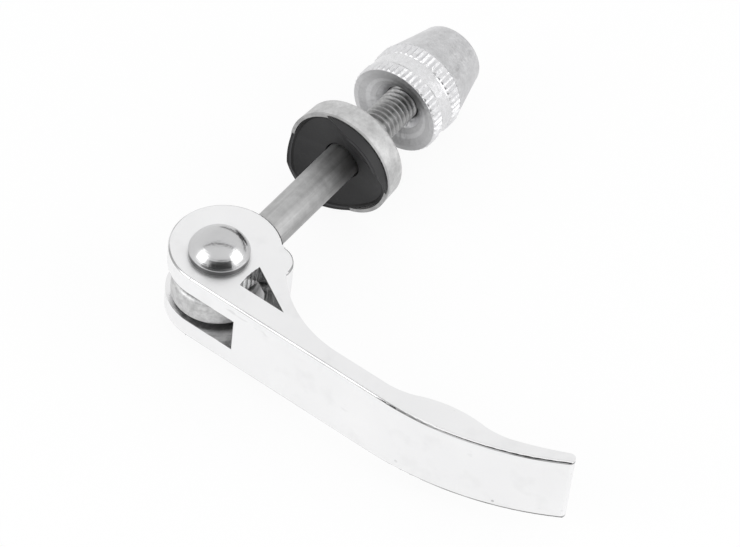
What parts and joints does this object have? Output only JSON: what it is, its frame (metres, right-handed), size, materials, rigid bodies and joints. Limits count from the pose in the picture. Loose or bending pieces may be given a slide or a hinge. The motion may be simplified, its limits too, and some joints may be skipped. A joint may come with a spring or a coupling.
{
  "type": "seat binder bolt",
  "caption": "Quick-release seat binder bolt with a forked cam lever, eye bolt, cupped washer with a plastic saddle, and a knurled conical nut.",
  "frame": {"origin": "centre of the washer's flat clamping face, on the bolt's axis", "axes": "+X along the bolt from the lever's head to the nut, +Z along the pivot pin towards its domed head, and the lever's blade lies towards -Y"},
  "size_m": [0.0734, 0.075, 0.0202],
  "materials": {
    "lever": "polished",
    "pin": "polished",
    "bolt": "satin",
    "washer": "satin",
    "saddle": "matte",
    "nut": "turned"
  },
  "bodies": {
    "bolt": {"eye_bolt": "bolt"},
    "lever": {"lever": "lever", "pivot_pin": "pin"},
    "washer": {"washer_cup": "washer"},
    "saddle": {"saddle": "saddle"},
    "nut": {"nut": "nut"}
  },
  "joints": [
    {"name": "lever_swing", "type": "hinge", "parent": "bolt", "child": "lever", "pos_m": [-0.0375, 0, 0], "axis": [0, 0, 1], "range_deg": [-195, 20]},
    {"name": "washer_slide", "type": "slide", "parent": "bolt", "child": "washer", "axis": [1, 0, 0], "range_m": [-0.0198, 0.0103]},
    {"name": "saddle_turn", "type": "hinge", "parent": "washer", "child": "saddle", "pos_m": [0, 0, 0], "axis": [1, 0, 0], "continuous": true},
    {"name": "nut_spin", "type": "hinge", "parent": "bolt", "child": "nut", "pos_m": [0.0106, 0, 0], "axis": [1, 0, 0], "continuous": true}
  ]
}
